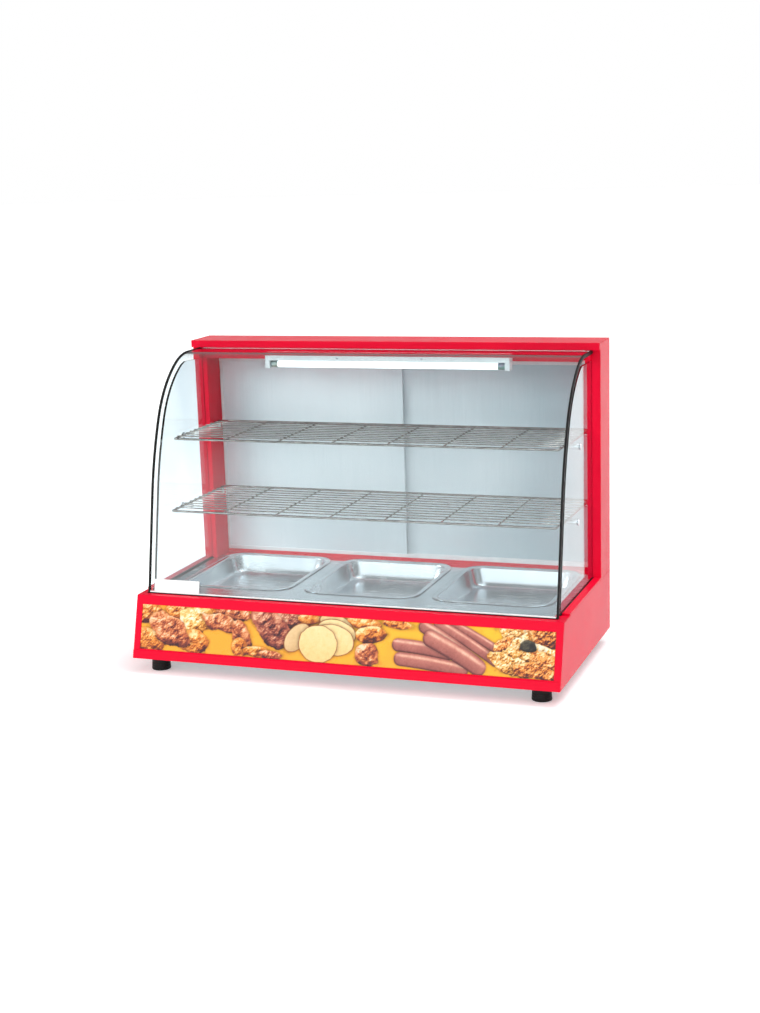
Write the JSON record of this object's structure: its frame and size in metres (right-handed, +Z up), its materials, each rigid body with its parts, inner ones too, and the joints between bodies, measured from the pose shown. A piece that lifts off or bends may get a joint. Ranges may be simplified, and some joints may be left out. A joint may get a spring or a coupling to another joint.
{
  "type": "heated food display cabinet",
  "caption": "Countertop heated display cabinet with a curved glass front, wire shelves, lift-out pans, sliding rear doors and a sloping base with a picture panel.",
  "frame": {"origin": "on the floor below the middle of the cabinet's bounding box", "axes": "+Z up, +X to the right seen from the customer's side, +Y from the curved glass front to the rear doors"},
  "size_m": [0.9, 0.472, 0.645],
  "materials": {
    "red_paint": "glossy powder coat",
    "printed_panel": "glossy printed film with a food picture",
    "galvanised_steel": "galvanised sheet",
    "stainless_steel": "satin",
    "heater_sheath": "heat-dulled",
    "black_plastic": "fine texture",
    "copper": "bare copper",
    "lens_amber": "translucent lens",
    "ceramic_white": "glazed",
    "white_plastic": "smooth",
    "white_paint": "gloss white",
    "cable_grey": "smooth sleeve",
    "clear_glass": "toughened, polished",
    "black_rubber": "satin",
    "door_steel": "satin, pale",
    "chrome_wire": "bright plated",
    "tube_glass": "white phosphor inside",
    "rocker_red": "smooth",
    "rocker_green": "smooth"
  },
  "bodies": {
    "cabinet": {"front_fascia": "red_paint", "kick_rail": "red_paint", "picture_panel": "printed_panel", "side_panel_left": "red_paint", "side_panel_right": "red_paint", "rear_panel": "red_paint", "bottom_panel": "galvanised_steel", "deck": "stainless_steel", "rear_sill": "red_paint", "heater_tray": "galvanised_steel", "heating_element_left": "heater_sheath", "heating_element_right": "heater_sheath", "element_clips": "stainless_steel", "thermostat": "black_plastic", "thermostat_bulb": "copper", "power_switch": "black_plastic", "lamp_switch": "black_plastic", "indicator_lamps": "lens_amber", "terminal_block": "ceramic_white", "lamp_ballast": "white_paint", "wiring": "cable_grey", "cable_gland": "black_plastic", "post_left": "red_paint", "post_right": "red_paint", "top_beam": "red_paint", "top_cap": "red_paint", "glass_bracket_left": "red_paint", "glass_bracket_right": "red_paint", "door_track_lower": "white_plastic", "door_track_upper": "white_plastic", "door_jambs": "white_plastic", "front_glass": "clear_glass", "front_gasket": "black_rubber", "glass_edge_left": "black_rubber", "glass_edge_right": "black_rubber", "side_glass_left": "clear_glass", "side_glass_right": "clear_glass", "side_gaskets": "black_rubber", "side_channel_left": "red_paint", "side_channel_right": "red_paint", "shelf_pegs": "stainless_steel", "lamp_batten": "white_paint", "lamp_holder_left": "white_plastic", "lamp_holder_right": "white_plastic", "label_plate": "white_plastic", "feet": "black_rubber", "fasteners": "stainless_steel"},
    "door_left": {"door_left": "door_steel", "door_pull_left": "black_plastic"},
    "door_right": {"door_right": "door_steel", "door_pull_right": "black_plastic"},
    "shelf_upper": {"shelf_upper": "chrome_wire"},
    "shelf_lower": {"shelf_lower": "chrome_wire"},
    "pan_left": {"pan_left": "stainless_steel"},
    "pan_middle": {"pan_middle": "stainless_steel"},
    "pan_right": {"pan_right": "stainless_steel"},
    "lamp_tube": {"lamp_tube": "tube_glass"},
    "thermostat_knob": {"thermostat_knob": "black_plastic"},
    "power_rocker": {"power_rocker": "rocker_red"},
    "lamp_rocker": {"lamp_rocker": "rocker_green"}
  },
  "joints": [
    {"name": "door_left_slide", "type": "slide", "parent": "cabinet", "child": "door_left", "axis": [1, 0, 0], "range_m": [0, 0.4]},
    {"name": "door_right_slide", "type": "slide", "parent": "cabinet", "child": "door_right", "axis": [-1, 0, 0], "range_m": [0, 0.4]},
    {"name": "shelf_upper_lift", "type": "slide", "parent": "cabinet", "child": "shelf_upper", "axis": [0, 0, 1], "range_m": [0, 0.03]},
    {"name": "shelf_lower_lift", "type": "slide", "parent": "cabinet", "child": "shelf_lower", "axis": [0, 0, 1], "range_m": [0, 0.03]},
    {"name": "pan_left_lift", "type": "slide", "parent": "cabinet", "child": "pan_left", "axis": [0, 0, 1], "range_m": [0, 0.07]},
    {"name": "pan_middle_lift", "type": "slide", "parent": "cabinet", "child": "pan_middle", "axis": [0, 0, 1], "range_m": [0, 0.07]},
    {"name": "pan_right_lift", "type": "slide", "parent": "cabinet", "child": "pan_right", "axis": [0, 0, 1], "range_m": [0, 0.07]},
    {"name": "lamp_tube_twist", "type": "hinge", "parent": "cabinet", "child": "lamp_tube", "pos_m": [0, 0.117, 0.597], "axis": [1, 0, 0], "range_deg": [0, 90]},
    {"name": "thermostat_knob_turn", "type": "hinge", "parent": "cabinet", "child": "thermostat_knob", "pos_m": [0.34, 0.224, 0.095], "axis": [0, -1, 0], "range_deg": [0, 270]},
    {"name": "power_rocker_tilt", "type": "hinge", "parent": "cabinet", "child": "power_rocker", "pos_m": [0.18, 0.214, 0.095], "axis": [-1, 0, 0], "range_deg": [0, 24]},
    {"name": "lamp_rocker_tilt", "type": "hinge", "parent": "cabinet", "child": "lamp_rocker", "pos_m": [0.12, 0.214, 0.095], "axis": [-1, 0, 0], "range_deg": [0, 24]}
  ]
}
